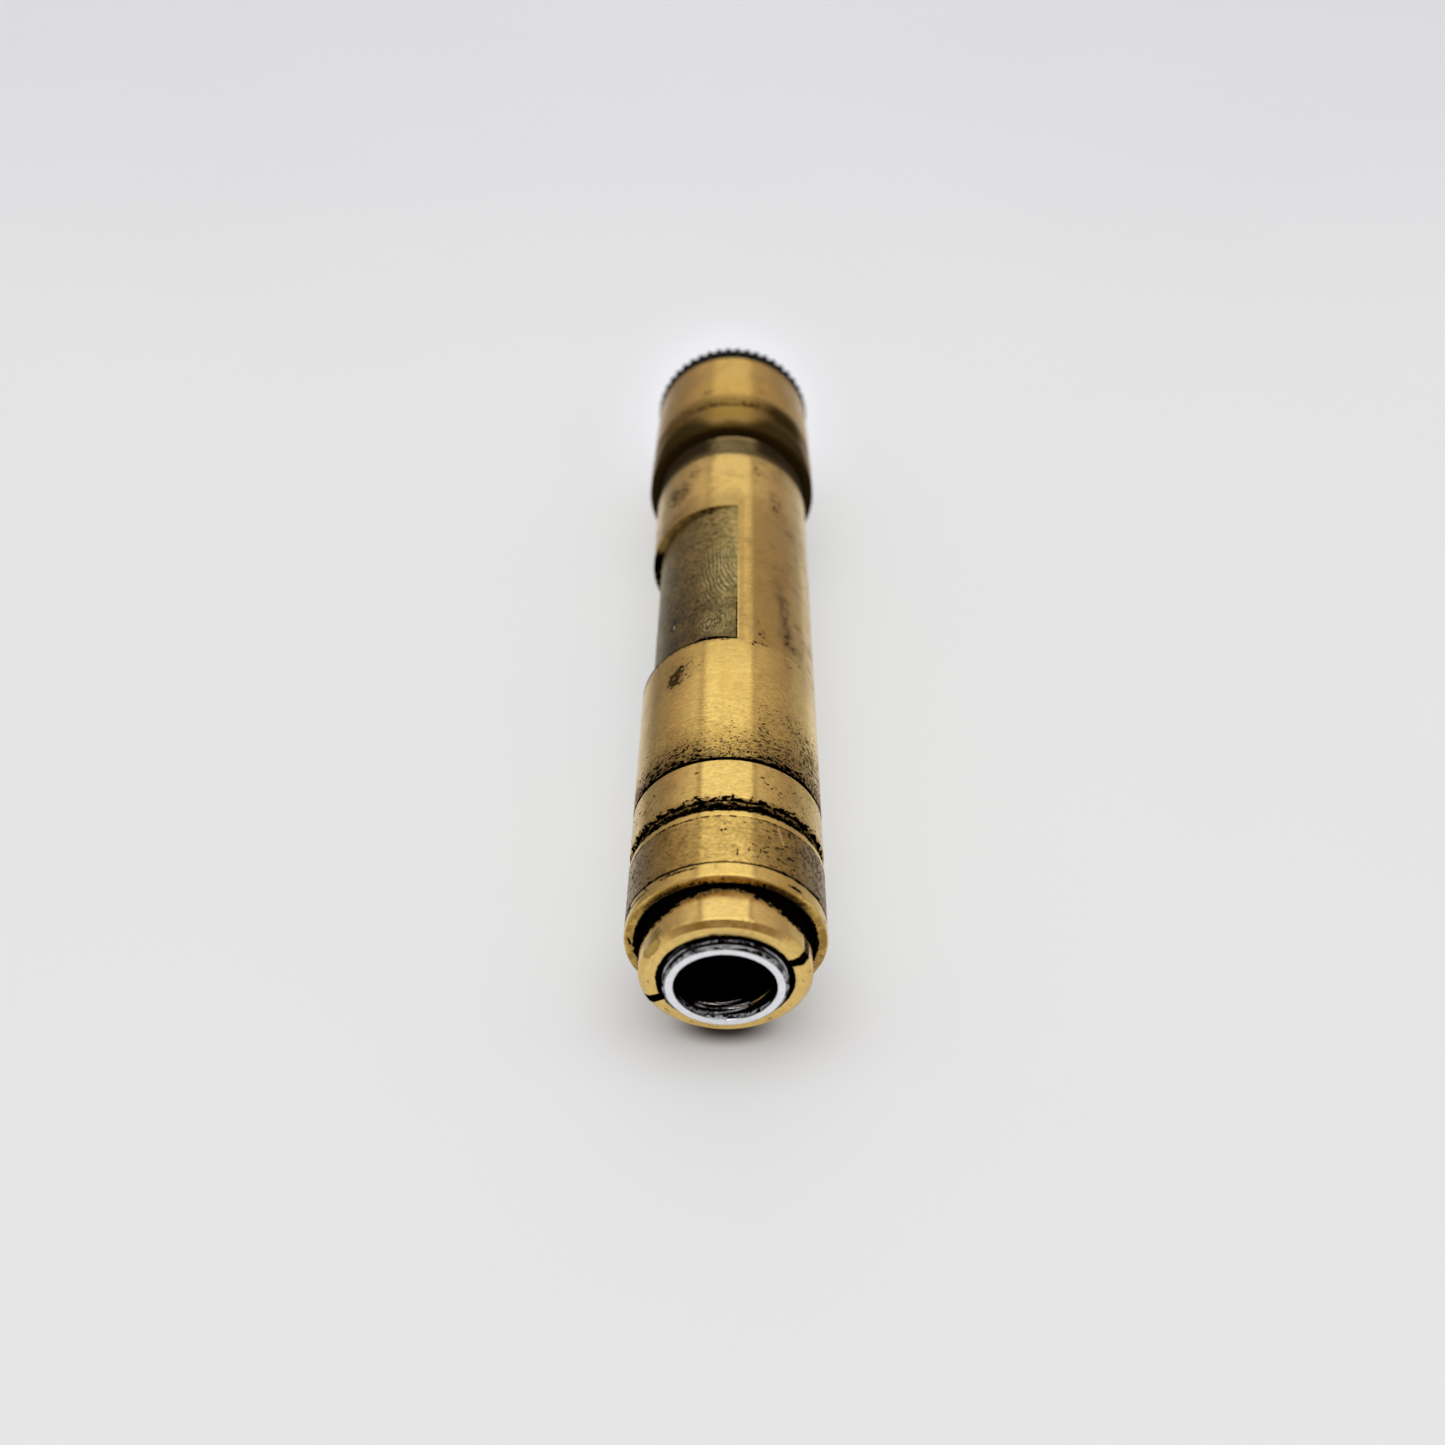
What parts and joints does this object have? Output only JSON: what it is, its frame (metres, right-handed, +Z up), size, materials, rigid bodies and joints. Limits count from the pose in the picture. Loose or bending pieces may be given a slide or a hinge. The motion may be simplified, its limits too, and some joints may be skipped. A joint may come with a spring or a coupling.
{
  "type": "pocket kaleidoscope",
  "caption": "Pocket kaleidoscope: a slim brass tube with a screw-focusing eyepiece at one end and a turning cell of loose glass at the other.",
  "frame": {"origin": "on the optical axis, in the plane of the front face of the front sleeve", "axes": "+Y along the optical axis from the eyepiece to the object cell; +Z up with the instrument lying on its side; +X to the right seen from the eyepiece, so the side recess is on the -X side"},
  "size_m": [0.018, 0.0859, 0.018],
  "materials": {
    "patinated_brass": "satin, brown and olive patina",
    "polished_brass": "polished, worn",
    "dark_brass": "dull, tarnished",
    "steel": "turned",
    "bright_steel": "bright turned",
    "spring_steel": "spring temper",
    "black_metal": "black, semi-matte",
    "aluminium": "satin",
    "mirror_glass": "front-silvered",
    "foam": "open-cell foam",
    "gasket": "matte",
    "clear_glass": "polished",
    "frosted_glass": "ground",
    "red": "polished",
    "blue": "polished",
    "green": "polished",
    "amber": "polished",
    "violet": "polished"
  },
  "bodies": {
    "barrel": {"barrel": "patinated_brass", "front_sleeve": "patinated_brass", "lock_ring": "polished_brass", "guide_bush": "dark_brass", "key_pin": "steel", "grub_screws": "steel", "front_mirror_plate": "black_metal", "rear_mirror_plate": "black_metal", "mirror_left": "mirror_glass", "mirror_right": "mirror_glass", "mirror_base": "mirror_glass", "mirror_padding": "foam", "retaining_nut": "dark_brass", "friction_washer": "spring_steel"},
    "collar": {"nose_collar": "polished_brass"},
    "eyepiece": {"eyepiece_tube": "bright_steel", "eye_lens": "clear_glass", "lens_retainer": "black_metal", "field_stop": "black_metal"},
    "cell": {"end_cap": "polished_brass", "knurled_bezel": "black_metal", "inner_window": "clear_glass", "outer_window": "frosted_glass", "cell_spacer": "aluminium", "snap_ring": "spring_steel", "bezel_gasket": "gasket"},
    "chips": {"red_glass": "red", "blue_glass": "blue", "green_glass": "green", "amber_beads": "amber", "violet_rods": "violet"}
  },
  "joints": [
    {"name": "collar_turn", "type": "hinge", "parent": "barrel", "child": "collar", "pos_m": [0, 0, 0], "axis": [0, 1, 0], "range_deg": [-720, 720]},
    {"name": "eyepiece_slide", "type": "slide", "parent": "barrel", "child": "eyepiece", "axis": [0, -1, 0], "range_m": [-0.001, 0.001]},
    {"name": "cap_spin", "type": "hinge", "parent": "barrel", "child": "cell", "pos_m": [0, 0.07, 0], "axis": [0, 1, 0], "continuous": true},
    {"name": "chips_tumble", "type": "hinge", "parent": "cell", "child": "chips", "pos_m": [0, 0.0725, 0], "axis": [0, 1, 0], "continuous": true}
  ],
  "couplings": [
    {"joint": "collar_turn", "follows": "eyepiece_slide", "rad_per_m": 12566}
  ]
}
